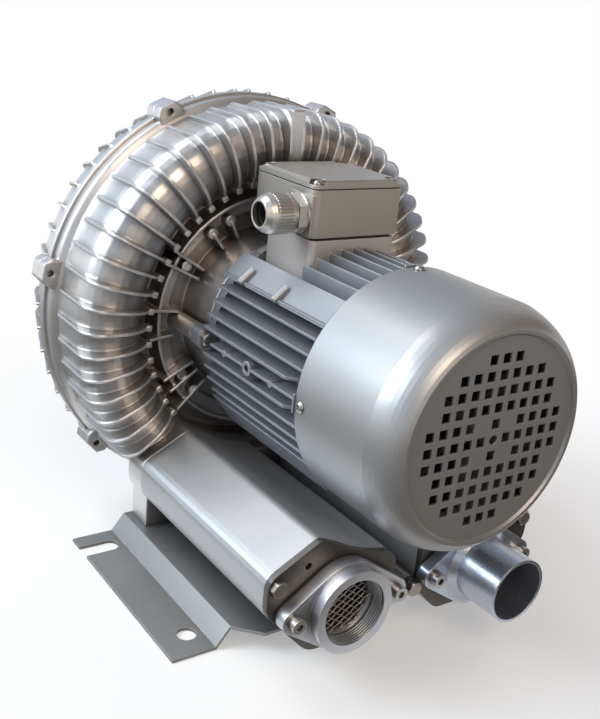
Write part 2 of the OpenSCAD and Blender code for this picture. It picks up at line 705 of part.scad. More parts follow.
module terminal_box() {
  color([0.55, 0.53, 0.51]) difference() {
    union() {
      at_box(box_z) linear_extrude(box_h) difference() {
        box_outline(0, 7);
        box_outline(box_wall, 5);
      }
      at_box(box_z) linear_extrude(box_wall) box_outline(0, 7);
      at_box(lid_z - lid_boss_h) intersection() {
        at_lid_screws() cylinder(r = 7, h = lid_boss_h, $fn = 32);
        linear_extrude(lid_boss_h) box_outline(0.5, 6);
      }
      // Flat pad and thick wall for the gland's thread
      translate([-box_w / 2 - 1, gland_y - 17, box_z + 2]) cube([gland_seat_t, 34, 34]);
    }
    at_box(lid_z - lid_boss_h - 1) at_lid_screws()
      cylinder(r = small_screw_r + screw_gap, h = lid_boss_h + 2, $fn = 32);
    translate([0, pedestal_mid, box_z - 1]) cylinder(r = wire_hole_r, h = box_wall + 2, $fn = 48);
    translate([-box_w / 2 - 2, gland_y, gland_axis_z]) rotate([0, 90, 0])
      cylinder(r = gland_thread_r + screw_gap, h = gland_seat_t + 2, $fn = 48);
  }
}

module box_gasket() {
  color([0.1, 0.1, 0.1]) translate([0, pedestal_mid, box_z - gasket_h])
    linear_extrude(gasket_h) difference() {
      polygon(box_points(pedestal_w - 5, pedestal_rear - box_front - 5, 5));
      circle(r = wire_hole_r, $fn = 48);
    }
}

module lid_gasket() {
  color([0.1, 0.1, 0.1]) at_box(lid_z) difference() {
    linear_extrude(1) difference() {
      box_outline(1, 6);
      box_outline(box_wall, 5);
    }
    at_lid_screws() translate([0, 0, -1]) cylinder(r = small_screw_r + screw_gap, h = 3, $fn = 32);
  }
}

module terminal_lid() {
  color([0.55, 0.53, 0.51]) at_box(lid_z + 1) difference() {
    union() {
      linear_extrude(lid_h - 1) box_outline(0, 7);
      translate([0, 0, lid_h - 1]) linear_extrude(1) box_outline(3, 6);
    }
    at_lid_screws() translate([0, 0, 3]) cylinder(r = 7, h = lid_h, $fn = 32);
    at_lid_screws() translate([0, 0, -1]) cylinder(r = small_screw_r + screw_gap, h = lid_h, $fn = 32);
    for (sx = [-1, 1], sy = [-1, 1]) translate([sx * box_w / 2, sy * box_l / 2, 3])
      rotate(sx * sy > 0 ? -45 : 45) translate([-7, -9, 0]) cube([14, 18, lid_h]);
  }
}

module lid_screws() {
  color([0.7, 0.7, 0.72]) at_box(lid_z + 4) at_lid_screws() {
    pan_head(4.6, 3);
    translate([0, 0, -lid_boss_h - 3]) cylinder(r = small_screw_r, h = lid_boss_h + 4, $fn = 32);
  }
}

// The six stud places of the terminal block
module at_studs() {
  for (x = [-22, 0, 22], y = [-11, 11]) translate([x, y, 0]) children();
}

module terminal_block() {
  color([0.15, 0.12, 0.1]) at_box(box_z + box_wall) difference() {
    union() {
      for (x = [-26, 26]) translate([x - 5, -12, 0]) cube([10, 24, 8]);
      translate([-34, -20, 8]) cube([68, 40, 9]);
      for (x = [-22, 0]) translate([x + 10, -20, 17]) cube([2, 40, 5]);
    }
    at_studs() translate([0, 0, 7]) cylinder(r = stud_r, h = 12, $fn = 32);
  }
}

module terminal_studs() {
  color([0.75, 0.6, 0.3]) at_box(box_z + box_wall) at_studs() {
    translate([0, 0, 8]) cylinder(r = stud_r, h = 22, $fn = 32);
    translate([0, 0, 17]) cylinder(r = 4.6, h = 4, $fn = 6);
  }
}

// Local Z points out of the cable gland, to -X, from the outer face of the box
module at_gland() { translate([-box_w / 2 - 1, gland_y, gland_axis_z]) rotate([0, -90, 0]) children(); }

module gland_body() {
  color([0.75, 0.74, 0.72]) at_gland() difference() {
    union() {
      translate([0, 0, -gland_seat_t]) cylinder(r = gland_thread_r, h = gland_seat_t + 1, $fn = 48);
      cylinder(r = 17, h = 2, $fn = 48);
      translate([0, 0, 2]) cylinder(r = 15.5 / cos(30), h = 8.5, $fn = 6);
      translate([0, 0, 10]) cylinder(r = 14, h = 9, $fn = 48);
    }
    translate([0, 0, -gland_seat_t - 1]) cylinder(r = gland_hole_r, h = 32, $fn = 48);
  }
}

module gland_seal() {
  color([0.12, 0.12, 0.12]) at_gland() translate([0, 0, 19]) difference() {
    cylinder(r = 13.4, h = 15, $fn = 48);
    translate([0, 0, -1]) cylinder(r = gland_hole_r, h = 17, $fn = 48);
  }
}

module gland_nut() {
  color([0.75, 0.74, 0.72]) at_gland() translate([0, 0, 12.5]) difference() {
    union() {
      cylinder(r = 17.4, h = 4, $fn = 48);
      for (a = [0:10:350]) rotate(a) translate([15.6, -0.9, 2]) cube([1.9, 1.8, 16]);
      cylinder(r = 16.8, h = 20, $fn = 48);
      translate([0, 0, 20]) cylinder(r1 = 16.8, r2 = 15.6, h = 4, $fn = 48);
      translate([0, 0, 24]) cylinder(r1 = 15.6, r2 = 12.5, h = 4.5, $fn = 48);
    }
    translate([0, 0, -1]) cylinder(r = 14 + loose_gap, h = 23, $fn = 48);
    translate([0, 0, 20]) cylinder(r1 = 14, r2 = gland_hole_r + 0.6, h = 9, $fn = 48);
  }
}

module silencer_tube() {
  front = plate_face_y + end_plate_t;
  color([0.66, 0.67, 0.69]) difference() {
    tube_block(front, tube_rear);
    along_shaft(front - 1, tube_rear + 1) difference() {
      offset(delta = -tube_wall) polygon(rounded(tube_points, tube_rounds));
      for (p = tie_points) translate(p) circle(r = tie_boss_r, $fn = 48);
    }
    for (p = tie_points) rod(p[0], axis_h + p[1], screw_r + screw_gap, front - 1, tube_rear + 1);
  }
}

module foam() {
  color([0.2, 0.2, 0.2]) along_shaft(plate_face_y + end_plate_t + 8, tube_rear - 1) difference() {
    offset(delta = -tube_wall - loose_gap) polygon(rounded(tube_points, tube_rounds));
    for (p = tie_points) translate(p) circle(r = tie_boss_r + loose_gap, $fn = 48);
    translate([-port_x, -port_drop]) circle(r = port_hole_r + 1, $fn = 64);
  }
}

module end_plate() {
  rear = plate_face_y + end_plate_t;
  color([0.6, 0.59, 0.58]) difference() {
    tube_block(plate_face_y, rear);
    rod(-port_x, port_z, port_hole_r, plate_face_y - 1, rear + 1);
    for (p = tie_points) rod(p[0], axis_h + p[1], screw_r + screw_gap, plate_face_y - 1, rear + 1);
    for (s = [-1, 1])
      rod(s * flange_reach - port_x, port_z, screw_r + screw_gap, plate_face_y - 1, rear + 1);
    rod(-108, axis_h - tube_drop + 84, 3, plate_face_y - 1, plate_face_y + 5);
  }
}

module silencer_tube_left() { silencer_tube(); }
module silencer_tube_right() { mirror([1, 0, 0]) silencer_tube(); }
module end_plate_left() { end_plate(); }
module end_plate_right() { mirror([1, 0, 0]) end_plate(); }
module foam_left() { foam(); }
module foam_right() { mirror([1, 0, 0]) foam(); }

module silencer_bolts() {
  color([0.55, 0.53, 0.5]) both_sides() for (p = tie_points) {
    bolt_head(p[0], axis_h + p[1], hex_half, plate_face_y - hex_head_h, plate_face_y);
    rod(p[0], axis_h + p[1], screw_r, plate_face_y - 1, tube_rear + 22);
  }
}

// Oval outline of a two screw flange: middle radius a, ear radius b
module oval(a, b) {
  t = acos((a - b) / flange_reach);
  circle(r = a, $fn = 96);
  for (s = [-1, 1]) translate([s * flange_reach, 0]) circle(r = b, $fn = 48);
  polygon([
    [flange_reach + b * cos(t), b * sin(t)], [a * cos(t), a * sin(t)],
    [-a * cos(t), a * sin(t)], [-flange_reach - b * cos(t), b * sin(t)],
    [-flange_reach - b * cos(t), -b * sin(t)], [-a * cos(t), -a * sin(t)],
    [a * cos(t), -a * sin(t)], [flange_reach + b * cos(t), -b * sin(t)]]);
}

module flange_screw_holes() {
  for (s = [-1, 1]) translate([s * flange_reach, 0]) circle(r = screw_r + screw_gap, $fn = 48);
}

// Local origin on the port's axis, at the left or right side s
module at_port(s) { translate([s * port_x, 0, port_z]) children(); }

module flange_gaskets() {
  color([0.2, 0.2, 0.2]) for (s = [-1, 1]) at_port(s) along_y(flange_back, plate_face_y) difference() {
    oval(39.5, 10.5);
    circle(r = port_hole_r, $fn = 64);
    flange_screw_holes();
  }
}

module threaded_flange() {
  color([0.68, 0.67, 0.66]) at_port(-1) difference() {
    union() {
      along_y(flange_front, flange_back) oval(40, 11);
      rod(0, 0, collar_r, collar_front, flange_back);
    }
    rod(0, 0, thread_bore_r, collar_front - 1, collar_seat_y - screen_t);
    rod(0, 0, screen_r + screw_gap, collar_seat_y - screen_t - 1, collar_seat_y);
    rod(0, 0, screen_seat_r, collar_seat_y - 1, flange_back + 1);
    along_y(flange_front - 1, flange_back + 1) flange_screw_holes();
  }
}

module port_screen() {
  color([0.6, 0.6, 0.6]) at_port(-1) along_y(collar_seat_y - screen_t, collar_seat_y) {
    difference() {
      circle(r = screen_r, $fn = 96);
      circle(r = screen_seat_r - 0.4, $fn = 96);
    }
    intersection() {
      circle(r = screen_seat_r, $fn = 96);
      for (a = [-35, 35], k = [-5:5]) rotate(a) translate([k * 5.4 - 0.6, -30]) square([1.2, 60]);
    }
  }
}

module hose_flange() {
  color([0.6, 0.61, 0.64]) at_port(1) difference() {
    union() {
      along_y(flange_front, flange_back) oval(40, 11);
      rod(0, 0, nozzle_r, nozzle_front, flange_back);
      translate([0, flange_front, 0]) rotate([90, 0, 0]) cylinder(r1 = 36, r2 = nozzle_r, h = 5, $fn = 96);
    }
    rod(0, 0, nozzle_r - nozzle_wall, nozzle_front - 1, flange_back + 1);
    along_y(flange_front - 1, flange_back + 1) flange_screw_holes();
  }
}

module flange_screws() {
  color([0.7, 0.7, 0.72]) for (s = [-1, 1], t = [-1, 1]) at_port(s) difference() {
    union() {
      rod(t * flange_reach, 0, 6.5, flange_front - 8, flange_front);
      rod(t * flange_reach, 0, screw_r, flange_front - 1, plate_face_y + end_plate_t);
    }
    hex_rod(t * flange_reach, 0, 3, flange_front - 9, flange_front - 4);
  }
}

// The section of a ball bearing between two radii with its groove
module bearing_ring(y, r0, r1) {
  turned() difference() {
    translate([r0, y]) square([r1 - r0, bearing_w]);
    translate([ball_ring_r, y + bearing_w / 2]) circle(r = ball_r + 0.1, $fn = 48);
  }
}

module bearing_outer_rings() {
  color([0.75, 0.75, 0.76]) for (y = [drive_bearing_y, fan_bearing_y]) bearing_ring(y, 26.5, bearing_r);
}

module bearing_inner_rings() {
  color([0.75, 0.75, 0.76]) for (y = [drive_bearing_y, fan_bearing_y])
    bearing_ring(y, bearing_bore_r, 19.5);
}

module bearing_balls() {
  color([0.8, 0.8, 0.8]) for (y = [drive_bearing_y, fan_bearing_y], k = [0:ball_count - 1])
    at_angle(k * 360 / ball_count)
      translate([0, y + bearing_w / 2, ball_ring_r]) sphere(r = ball_r, $fn = 32);
}

module shaft_seal() {
  color([0.12, 0.12, 0.12]) turned() polygon([
    [bearing_bore_r + seal_gap, seal_front + 1], [seal_r, seal_front], [seal_r, seal_front + 8],
    [22, seal_front + 8], [20, seal_front + 3], [bearing_bore_r + 2, seal_front + 7],
    [bearing_bore_r + seal_gap, seal_front + 6]]);
}

module shaft() {
  color([0.7, 0.7, 0.71]) difference() {
    turned() polygon([
      [0, fan_front - 8], [fan_bore_r - 0.5, fan_front - 8], [fan_bore_r, fan_front - 7.5],
      [fan_bore_r, fan_bearing_y - 6],
      [bearing_bore_r, fan_bearing_y - 5],
      [bearing_bore_r, fan_bearing_y + bearing_w], [18, fan_bearing_y + bearing_w], [18, stack_front - 8],
      [20, stack_front - 8], [20, stack_rear + 8], [18, stack_rear + 8], [18, drive_bearing_y],
      [bearing_bore_r, drive_bearing_y],
      [bearing_bore_r, wheel_front], [impeller_bore_r, wheel_front], [impeller_bore_r, wheel_rear],
      [0, wheel_rear]]);
    translate([-4, key_y - 1, axis_h + impeller_bore_r - 4]) cube([8, 27, 6]);
    rod(0, axis_h, screw_r + 1, wheel_front + 7, wheel_rear + 1);
  }
}

module impeller_key() {
  color([0.6, 0.6, 0.6]) translate([-4, key_y, axis_h + impeller_bore_r - 4]) cube([8, 25, 7]);
}

module impeller() {
  w = vane_ring_w / 2;
  inner_r = channel_r - channel_hole_r + 2;
  scoop_r = (impeller_r - inner_r) / 2;
  mid_r = inner_r + scoop_r;
  color([0.72, 0.72, 0.73]) difference() {
    union() {
      turned() polygon(concat(
        [[impeller_bore_r, wheel_front], [26, wheel_front], [30, wheel_y - 8], [inner_r - 8, wheel_y - 4],
         [inner_r - 1, wheel_y - w + 6]],
        arc([mid_r, wheel_y - w + 1], scoop_r, 180, 0, 9),
        arc([mid_r, wheel_y + w - 1], scoop_r, 0, -180, 9),
        [[inner_r - 1, wheel_y + w - 6], [inner_r - 8, wheel_y + 4], [30, wheel_y + 8],
         [26, wheel_rear], [impeller_bore_r, wheel_rear]]));
      for (k = [0:vane_count - 1]) at_angle(k * 360 / vane_count) side_plate(vane_t) polygon(rounded(
        [[inner_r + 0.5, wheel_y - w], [impeller_r - 0.4, wheel_y - w], [impeller_r - 0.4, wheel_y + w],
         [inner_r + 0.5, wheel_y + w]], [3, 9, 9, 3]));
    }
    translate([-4, wheel_front - 1, axis_h + 8]) cube([8, 40, 7.2]);
  }
}

module impeller_washer() {
  color([0.7, 0.7, 0.72]) turned() translate([5.3, wheel_rear]) square([15, 3]);
}

module impeller_bolt() {
  color([0.7, 0.7, 0.72]) {
    hex_rod(0, axis_h, 8.5, wheel_rear + 3, wheel_rear + 9.5);
    rod(0, axis_h, screw_r + 0.9, wheel_front + 11, wheel_rear + 4);
  }
}

module rotor_core() {
  color([0.5, 0.5, 0.52]) turned() {
    translate([20, stack_front]) square([rotor_r - 20, stack_rear - stack_front]);
    for (y = [stack_front - 8, stack_rear - 1]) translate([28, y]) square([14, 9]);
  }
}

module cooling_fan() {
  color([0.12, 0.12, 0.13]) difference() {
    union() {
      turned() polygon([
        [fan_bore_r, fan_front], [17, fan_front], [19, fan_rear - 10], [fan_r - 26, fan_rear - 4],
        [fan_r - 26, fan_rear], [fan_bore_r, fan_rear]]);
      for (k = [0:blade_count - 1]) at_angle(k * 360 / blade_count) side_plate(2.8) polygon([
        [12, fan_rear - 2], [12, fan_front + 2], [fan_r - 22, fan_front + 2], [fan_r, fan_front + 8],
        [fan_r, fan_rear - 8], [fan_r - 26, fan_rear - 2]]);
    }
    rod(0, axis_h, fan_bore_r, fan_front - 2, fan_rear + 6);
  }
}

placed() base_plate();
placed() front_housing();
placed() rear_cover();
placed() housing_screws();
placed() foot_bolts();
placed() foot_nuts();
placed() motor_frame();
placed() stator_core();
placed() stator_windings();
placed() drive_end_shield();
placed() fan_end_shield();
placed() motor_screws();
placed() fan_cowl();
placed() cowl_screws();
placed() terminal_box();
placed() box_gasket();
placed() lid_gasket();
placed() terminal_lid();
placed() lid_screws();
placed() terminal_block();
placed() terminal_studs();
placed() gland_body();
placed() gland_seal();
placed() gland_nut();
placed() silencer_tube_left();
placed() silencer_tube_right();
placed() end_plate_left();
placed() end_plate_right();
placed() foam_left();
placed() foam_right();
placed() silencer_bolts();
placed() flange_gaskets();
placed() threaded_flange();
placed() port_screen();
placed() hose_flange();
placed() flange_screws();
placed() bearing_outer_rings();
placed() bearing_balls();
placed() shaft_seal();
placed() shaft();
placed() impeller_key();
placed() impeller();
placed() impeller_washer();
placed() impeller_bolt();
placed() rotor_core();
placed() cooling_fan();
placed() bearing_inner_rings();
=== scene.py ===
import math

import bpy
from mathutils import Matrix, Vector


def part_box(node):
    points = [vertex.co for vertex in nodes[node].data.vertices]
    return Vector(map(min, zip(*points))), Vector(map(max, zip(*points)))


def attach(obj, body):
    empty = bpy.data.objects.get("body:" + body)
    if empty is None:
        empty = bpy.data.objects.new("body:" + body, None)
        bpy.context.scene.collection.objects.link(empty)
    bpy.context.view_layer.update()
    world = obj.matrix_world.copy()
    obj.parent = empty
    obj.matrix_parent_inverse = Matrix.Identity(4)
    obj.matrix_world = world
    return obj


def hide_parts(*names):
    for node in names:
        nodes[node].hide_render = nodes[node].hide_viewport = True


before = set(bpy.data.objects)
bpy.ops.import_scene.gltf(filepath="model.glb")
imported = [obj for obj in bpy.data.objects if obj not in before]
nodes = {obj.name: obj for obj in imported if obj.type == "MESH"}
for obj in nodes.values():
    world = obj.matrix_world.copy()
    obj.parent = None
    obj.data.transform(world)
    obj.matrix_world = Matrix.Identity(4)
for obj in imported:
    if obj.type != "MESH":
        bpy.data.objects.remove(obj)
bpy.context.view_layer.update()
for part in nodes.values():
    part.select_set(False)

# The ring housing: two aluminium castings, front and rear, sprayed silver.
# The paint is thin, so the grain of the cast skin shows through it, and
# brown workshop dust with painted shade darkens the corners between the fins.


def add_socket(group, name, kind, is_output, value=None):
    """A named input or output of a node group."""
    way = "OUTPUT" if is_output else "INPUT"
    socket = group.interface.new_socket(name=name, in_out=way, socket_type=kind)
    if value is not None:
        socket.default_value = value


def link(tree, source, target):
    """Leads the output of one node into the input of another."""
    tree.links.new(source, target)


def add_math(tree, operation, second=None):
    """A math node, of which the second value may be fixed."""
    node = tree.nodes.new("ShaderNodeMath")
    node.operation = operation
    if second is not None:
        node.inputs[1].default_value = second
    return node


def add_range(tree, start, end, low=0.0, high=1.0, shape="LINEAR"):
    """Turns the values from start to end into those from low to high."""
    node = tree.nodes.new("ShaderNodeMapRange")
    node.interpolation_type = shape
    node.inputs["From Min"].default_value = start
    node.inputs["From Max"].default_value = end
    node.inputs["To Min"].default_value = low
    node.inputs["To Max"].default_value = high
    return node


def blend_colours(tree, first=None, second=None):
    """A mix of two colours, of which each may be fixed."""
    node = tree.nodes.new("ShaderNodeMix")
    node.data_type = "RGBA"
    if first is not None:
        node.inputs["A"].default_value = (*first, 1)
    if second is not None:
        node.inputs["B"].default_value = (*second, 1)
    return node


def make_cast_skin():
    """Grain of a casting under paint: a cloudy tone, fine pits, dust and painted shade in the corners, and
    rubbed edges with a painted highlight.
    """
    edge_band_width = 0.0009
    skin = bpy.data.node_groups.new("cast skin", "ShaderNodeTree")
    add_socket(skin, "Grain Size", "NodeSocketFloat", False, 900.0)
    add_socket(skin, "Cloud Size", "NodeSocketFloat", False, 14.0)
    add_socket(skin, "Corner Reach", "NodeSocketFloat", False, 0.02)
    add_socket(skin, "Round Off", "NodeSocketFloat", False, 0.0009)
    for name in ("Tone", "Pits", "Dust And Painted Shade", "Rubbed And Painted Bright Edge"):
        add_socket(skin, name, "NodeSocketFloat", True)
    add_socket(skin, "Soft Normal", "NodeSocketVector", True)
    given = skin.nodes.new("NodeGroupInput")
    put_out = skin.nodes.new("NodeGroupOutput")
    place = skin.nodes.new("ShaderNodeTexCoord")

    cloud = skin.nodes.new("ShaderNodeTexNoise")
    cloud.inputs["Detail"].default_value = 4.0
    cloud.inputs["Roughness"].default_value = 0.6
    link(skin, place.outputs["Object"], cloud.inputs["Vector"])
    link(skin, given.outputs["Cloud Size"], cloud.inputs["Scale"])
    link(skin, cloud.outputs["Fac"], put_out.inputs["Tone"])

    grain = skin.nodes.new("ShaderNodeTexNoise")
    grain.inputs["Detail"].default_value = 3.0
    link(skin, place.outputs["Object"], grain.inputs["Vector"])
    link(skin, given.outputs["Grain Size"], grain.inputs["Scale"])
    link(skin, grain.outputs["Fac"], put_out.inputs["Pits"])

    # Painted shade: corners found by ambient occlusion are darkened, mixed with dust.
    corner = skin.nodes.new("ShaderNodeAmbientOcclusion")
    corner.samples = 6
    closed_in = add_math(skin, "SUBTRACT")
    closed_in.inputs[0].default_value = 1.0
    broken = add_math(skin, "MULTIPLY")
    spread = add_range(skin, 0.3, 0.7, 0.75, 1.25)
    link(skin, given.outputs["Corner Reach"], corner.inputs["Distance"])
    link(skin, corner.outputs["AO"], closed_in.inputs[1])
    link(skin, cloud.outputs["Fac"], spread.inputs["Value"])
    link(skin, closed_in.outputs[0], broken.inputs[0])
    link(skin, spread.outputs["Result"], broken.inputs[1])
    link(skin, broken.outputs[0], put_out.inputs["Dust And Painted Shade"])

    soft = skin.nodes.new("ShaderNodeBevel")
    soft.samples = 6
    link(skin, given.outputs["Round Off"], soft.inputs["Radius"])
    link(skin, soft.outputs["Normal"], put_out.inputs["Soft Normal"])

    # Painted highlight: edges found by the bevel are lightened, as rubbed wear and a painted highlight.
    edge_bevel = skin.nodes.new("ShaderNodeBevel")
    edge_bevel.samples = 4
    edge_bevel.inputs["Radius"].default_value = edge_band_width
    true_face = skin.nodes.new("ShaderNodeNewGeometry")
    alike = skin.nodes.new("ShaderNodeVectorMath")
    alike.operation = "DOT_PRODUCT"
    edge = add_range(skin, 0.995, 0.75)
    link(skin, edge_bevel.outputs["Normal"], alike.inputs[0])
    link(skin, true_face.outputs["Normal"], alike.inputs[1])
    link(skin, alike.outputs["Value"], edge.inputs["Value"])
    link(skin, edge.outputs["Result"], put_out.inputs["Rubbed And Painted Bright Edge"])
    return skin


cast_skin = make_cast_skin()


def paint_cast(names, title, colour, shade, dust_and_shade, metal, gloss, pit_depth=0.00012, reach=0.02, grain=900.0,
               dust_and_shade_share=1.0, wear_and_highlight_gain=0.35, round_off=0.0009):
    """A painted or bare casting: colour to shade by cloud, dust and painted shade in the corners, rubbed and
    painted bright edges, pits as bump.
    """
    coat = bpy.data.materials.new(title)
    coat.use_nodes = True
    tree = coat.node_tree
    face = tree.nodes["Principled BSDF"]
    face.inputs["Metallic"].default_value = metal
    skin = tree.nodes.new("ShaderNodeGroup")
    skin.node_tree = cast_skin
    skin.inputs["Grain Size"].default_value = grain
    skin.inputs["Corner Reach"].default_value = reach
    skin.inputs["Round Off"].default_value = round_off

    tones = blend_colours(tree, colour, shade)
    # Painted shade: the corner mask pulls the colour toward the dark dust colour, as dust and shade.
    share = add_math(tree, "MULTIPLY", dust_and_shade_share)
    share.use_clamp = True
    dusted_and_shaded = blend_colours(tree, second=dust_and_shade)
    # Painted highlight: the edges get a lighter copy of the colour, as wear and a painted highlight.
    worn_and_highlit = blend_colours(tree, second=[min(1.0, part * (1 + wear_and_highlight_gain)) for part in colour])
    link(tree, skin.outputs["Tone"], tones.inputs["Factor"])
    link(tree, skin.outputs["Dust And Painted Shade"], share.inputs[0])
    link(tree, share.outputs[0], dusted_and_shaded.inputs["Factor"])
    link(tree, tones.outputs["Result"], dusted_and_shaded.inputs["A"])
    link(tree, skin.outputs["Rubbed And Painted Bright Edge"], worn_and_highlit.inputs["Factor"])
    link(tree, dusted_and_shaded.outputs["Result"], worn_and_highlit.inputs["A"])
    link(tree, worn_and_highlit.outputs["Result"], face.inputs["Base Color"])

    shine = add_range(tree, 0.0, 1.0, gloss - 0.08, gloss + 0.12)
    bump = tree.nodes.new("ShaderNodeBump")
    bump.inputs["Distance"].default_value = pit_depth
    bump.inputs["Strength"].default_value = 0.6
    link(tree, skin.outputs["Pits"], shine.inputs["Value"])
    link(tree, shine.outputs["Result"], face.inputs["Roughness"])
    link(tree, skin.outputs["Pits"], bump.inputs["Height"])
    link(tree, skin.outputs["Soft Normal"], bump.inputs["Normal"])
    link(tree, bump.outputs["Normal"], face.inputs["Normal"])
    dress(names, coat)
    return coat


def dress(names, coat):
    """Gives the solids of these names one finish, in place of the one they came with."""
    for name in names:
        mesh = nodes[name].data
        mesh.materials.clear()
        mesh.materials.append(coat)


paint_cast(
    ["front_housing", "rear_cover"], "silver cast housing",
    colour=(0.78, 0.775, 0.775), shade=(0.66, 0.655, 0.655), dust_and_shade=(0.10, 0.075, 0.055),
    metal=0.8, gloss=0.32, reach=0.035, dust_and_shade_share=0.95, round_off=0.004)

# Inside the ring: the cast impeller with its vanes, left raw, that is keyed to
# the shaft and held by a washer and a bolt.

paint_cast(
    ["impeller"], "raw cast impeller",
    colour=(0.60, 0.60, 0.61), shade=(0.50, 0.50, 0.51), dust_and_shade=(0.15, 0.14, 0.13),
    metal=0.9, gloss=0.4, reach=0.02)

# The shaft with its key and the two ball bearings: ground steel. The bearings
# sit in the shields, and the shaft is pressed in their inner rings.

paint_cast(
    ["shaft", "impeller_key", "bearing_outer_rings", "bearing_inner_rings", "bearing_balls"], "ground steel",
    colour=(0.60, 0.60, 0.61), shade=(0.52, 0.52, 0.53), dust_and_shade=(0.15, 0.15, 0.15),
    metal=1.0, gloss=0.22, reach=0.006)

# Inside the motor: cores stacked of electrical sheet, one pressed in the frame
# and one on the shaft, and windings of varnished copper wire.

paint_cast(
    ["stator_core", "rotor_core"], "electrical steel",
    colour=(0.30, 0.30, 0.31), shade=(0.24, 0.24, 0.25), dust_and_shade=(0.05, 0.05, 0.05),
    metal=0.8, gloss=0.5, reach=0.01)
paint_cast(
    ["stator_windings"], "varnished copper",
    colour=(0.45, 0.20, 0.08), shade=(0.36, 0.15, 0.06), dust_and_shade=(0.10, 0.04, 0.02),
    metal=0.5, gloss=0.4, reach=0.01)

# The motor frame and its two bearing shields: die cast aluminium with a blue
# grey paint, darker between the fins with dust and painted shade. The pedestal
# under the terminal box is painted lighter and warmer, as painted light and a
# painted reflection of the warm front.

motor_paint = paint_cast(
    ["motor_frame", "drive_end_shield", "fan_end_shield"], "blue grey motor paint",
    colour=(0.37, 0.39, 0.42), shade=(0.32, 0.335, 0.36), dust_and_shade=(0.07, 0.065, 0.06),
    metal=0.55, gloss=0.34, reach=0.012, dust_and_shade_share=0.5, wear_and_highlight_gain=0.9)
box_low, box_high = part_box("terminal_box")
pedestal_inset = 0.003
pedestal_foot = 0.285
pedestal_top = 0.355
pedestal_block_margin = 0.0003
pedestal_middle = (0.0, (box_low.y + box_high.y) / 2, (pedestal_foot + pedestal_top) / 2)
pedestal_half = (
    box_high.x - pedestal_inset + pedestal_block_margin,
    (box_high.y - box_low.y) / 2 + pedestal_block_margin,
    (pedestal_top - pedestal_foot) / 2)
# Painted light: the pedestal colour is multiplied lighter and warmer, as painted light and a painted warm
# reflection.
pedestal_painted_light = (1.8, 1.62, 1.45)


def mark_block(tree, middle, half):
    """Gives 1 inside a block of the piece that reaches half each way from the middle, and 0 outside."""
    place = tree.nodes.new("ShaderNodeTexCoord")
    from_middle = tree.nodes.new("ShaderNodeVectorMath")
    from_middle.operation = "SUBTRACT"
    from_middle.inputs[1].default_value = middle
    how_far = tree.nodes.new("ShaderNodeVectorMath")
    how_far.operation = "ABSOLUTE"
    past_side = tree.nodes.new("ShaderNodeVectorMath")
    past_side.operation = "SUBTRACT"
    past_side.inputs[1].default_value = half
    each_way = tree.nodes.new("ShaderNodeSeparateXYZ")
    level_way = add_math(tree, "MAXIMUM")
    any_way = add_math(tree, "MAXIMUM")
    inside = add_math(tree, "LESS_THAN", 0.0)
    link(tree, place.outputs["Object"], from_middle.inputs[0])
    link(tree, from_middle.outputs["Vector"], how_far.inputs[0])
    link(tree, how_far.outputs["Vector"], past_side.inputs[0])
    link(tree, past_side.outputs["Vector"], each_way.inputs["Vector"])
    link(tree, each_way.outputs["X"], level_way.inputs[0])
    link(tree, each_way.outputs["Y"], level_way.inputs[1])
    link(tree, level_way.outputs[0], any_way.inputs[0])
    link(tree, each_way.outputs["Z"], any_way.inputs[1])
    link(tree, any_way.outputs[0], inside.inputs[0])
    return inside.outputs[0]


# Painted light: inside the pedestal block the motor colour is multiplied by the painted light.
motor_tree = motor_paint.node_tree
motor_face = motor_tree.nodes["Principled BSDF"]
motor_paint_colour = motor_face.inputs["Base Color"].links[0].from_socket
pedestal_light_blend = blend_colours(motor_tree, second=pedestal_painted_light)
pedestal_light_blend.blend_type = "MULTIPLY"
link(motor_tree, mark_block(motor_tree, pedestal_middle, pedestal_half), pedestal_light_blend.inputs["Factor"])
link(motor_tree, motor_paint_colour, pedestal_light_blend.inputs["A"])
link(motor_tree, pedestal_light_blend.outputs["Result"], motor_face.inputs["Base Color"])

# The fan cowl: steel sheet pressed to a cup, punched with square holes, and
# sprayed in a plain grey, lighter and smoother than the motor.

paint_cast(
    ["fan_cowl"], "grey cowl paint",
    colour=(0.43, 0.435, 0.44), shade=(0.39, 0.395, 0.40), dust_and_shade=(0.07, 0.07, 0.075),
    metal=0.68, gloss=0.38, reach=0.01, pit_depth=0.00005)

# The cooling fan: black moulded plastic, pressed on the end of the shaft. Its
# blades show dimly through the grille.

paint_cast(
    ["cooling_fan"], "black fan",
    colour=(0.035, 0.035, 0.038), shade=(0.025, 0.025, 0.027), dust_and_shade=(0.01, 0.01, 0.01),
    metal=0.0, gloss=0.45, reach=0.01)

# The terminal box with its lid: cast aluminium in a warmer grey, screwed on the
# pedestal of the motor.

paint_cast(
    ["terminal_box", "terminal_lid"], "warm grey box paint",
    colour=(0.48, 0.45, 0.415), shade=(0.42, 0.39, 0.36), dust_and_shade=(0.06, 0.05, 0.045),
    metal=0.55, gloss=0.34, reach=0.012)

# The block in the terminal box and its studs: dark pressed resin with brass
# set in it. The lid hides both.

paint_cast(
    ["terminal_block"], "dark resin block",
    colour=(0.06, 0.045, 0.035), shade=(0.045, 0.035, 0.03), dust_and_shade=(0.02, 0.02, 0.02),
    metal=0.0, gloss=0.5, reach=0.01)
paint_cast(
    ["terminal_studs"], "brass studs",
    colour=(0.70, 0.52, 0.22), shade=(0.60, 0.43, 0.18), dust_and_shade=(0.20, 0.14, 0.06),
    metal=0.95, gloss=0.3, reach=0.005)

# The cable gland: turned brass with nickel plating, screwed in the side of the
# box. It is open.

